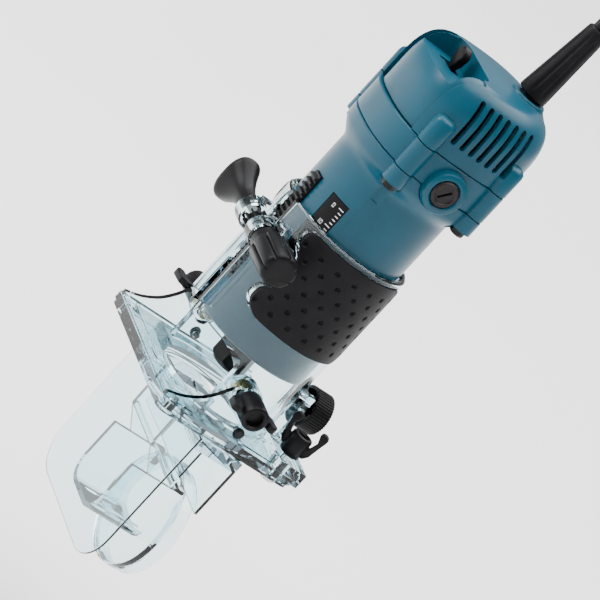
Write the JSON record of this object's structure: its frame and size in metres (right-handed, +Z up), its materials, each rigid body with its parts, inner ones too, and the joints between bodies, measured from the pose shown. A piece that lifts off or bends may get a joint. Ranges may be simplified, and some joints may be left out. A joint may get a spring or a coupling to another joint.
{
  "type": "trim router",
  "caption": "Hand-held trim router: slim motor in a clear slotted base with rack-and-pinion depth drive, hanging dust guard and duct, rocker switch and mains lead.",
  "frame": {"origin": "on the spindle axis at the underside of the sole plate", "axes": "+Z up the spindle towards the switch end, +X to the right-hand wing bolt, -Y to the depth clamp, +Y to the mains lead"},
  "size_m": [0.1632, 0.1318, 0.4023],
  "materials": {
    "teal_plastic": "satin moulded shell",
    "clear_plastic": "clear moulded polycarbonate",
    "black_plastic": "fine grain",
    "black_rubber": "matt",
    "steel": "bright",
    "dark_steel": "black oxide",
    "brass": "bright",
    "copper": "enamelled winding wire",
    "core_iron": "laminated",
    "carbon": "pressed carbon",
    "fan_nylon": "natural nylon",
    "brown_resin": "moulded resin"
  },
  "bodies": {
    "base": {"clear_base": "clear_plastic", "sole_plate": "clear_plastic", "sole_screw_1": "dark_steel", "sole_screw_2": "dark_steel", "sole_screw_3": "dark_steel", "sole_screw_4": "dark_steel", "side_screw_right": "dark_steel", "side_screw_left": "dark_steel", "insert_right": "brass", "insert_left": "brass", "guide_nut": "steel", "side_grip_right": "black_rubber", "side_grip_left": "black_rubber", "clamp_bolt": "steel", "guard_holder": "clear_plastic", "front_shield": "clear_plastic", "dust_duct": "clear_plastic", "dust_port": "clear_plastic"},
    "motor_unit": {"motor_housing": "teal_plastic", "brush_band": "teal_plastic", "rear_cover": "teal_plastic", "depth_scale": "black_plastic", "rack": "dark_steel", "housing_screw_front_right": "dark_steel", "housing_screw_back_right": "dark_steel", "housing_screw_front_left": "dark_steel", "housing_screw_back_left": "dark_steel", "brush_holder_right": "brass", "brush_holder_left": "brass", "carbon_brush_right": "carbon", "carbon_brush_left": "carbon", "brush_cap_right": "brown_resin", "brush_cap_left": "brown_resin", "stator_core": "core_iron", "field_coil": "copper", "lower_bearing": "steel", "upper_bearing": "steel", "bearing_bracket": "brown_resin", "switch_body": "black_plastic", "cord_guard": "black_rubber", "lead": "black_rubber", "lead_tail": "black_rubber", "lead_hank": "black_rubber", "hank_tie": "black_plastic", "mains_plug": "black_rubber"},
    "spindle": {"armature_shaft": "steel", "armature_core": "core_iron", "armature_coil": "copper", "commutator": "copper", "cooling_fan": "fan_nylon", "collet": "steel", "collet_nut": "black_plastic"},
    "switch": {"switch_lever": "black_plastic"},
    "depth_drive": {"pinion": "black_plastic", "depth_knob": "black_plastic"},
    "clamp": {"clamp_nut": "black_plastic"},
    "right_wing": {"wing_bolt_right": "black_plastic"},
    "left_wing": {"wing_bolt_left": "black_plastic"},
    "guide_wing": {"guide_bolt": "black_plastic"},
    "dial": {"guide_dial": "black_plastic"}
  },
  "joints": [
    {"name": "depth_slide", "type": "slide", "parent": "base", "child": "motor_unit", "axis": [0, 0, 1], "range_m": [-0.02, 0.022]},
    {"name": "depth_knob_turn", "type": "hinge", "parent": "base", "child": "depth_drive", "pos_m": [0, -0.04, 0.087], "axis": [1, 0, 0], "range_deg": [-210, 232]},
    {"name": "clamp_nut_turn", "type": "hinge", "parent": "base", "child": "clamp", "pos_m": [0.0143, -0.04, 0.087], "axis": [1, 0, 0], "range_deg": [-180, 180]},
    {"name": "right_wing_turn", "type": "hinge", "parent": "base", "child": "right_wing", "pos_m": [0.0463, -0.006, 0.026], "axis": [1, 0, 0], "range_deg": [-180, 180]},
    {"name": "left_wing_turn", "type": "hinge", "parent": "base", "child": "left_wing", "pos_m": [-0.0463, -0.006, 0.026], "axis": [-1, 0, 0], "range_deg": [-180, 180]},
    {"name": "guide_wing_turn", "type": "hinge", "parent": "base", "child": "guide_wing", "pos_m": [0.037, 0.036, 0.0121], "axis": [0, 0, 1], "range_deg": [-180, 180]},
    {"name": "dial_turn", "type": "hinge", "parent": "base", "child": "dial", "pos_m": [0.01, 0.0415, 0.0275], "axis": [0, 1, 0], "continuous": true},
    {"name": "spindle_spin", "type": "hinge", "parent": "motor_unit", "child": "spindle", "pos_m": [0, 0, 0.03], "axis": [0, 0, 1], "continuous": true},
    {"name": "switch_throw", "type": "hinge", "parent": "motor_unit", "child": "switch", "pos_m": [-0.004, -0.0165, 0.192], "axis": [0, 1, 0], "range_deg": [-22, 14]}
  ],
  "couplings": [
    {"joint": "depth_knob_turn", "follows": "depth_slide", "rad_per_m": 181.82}
  ]
}
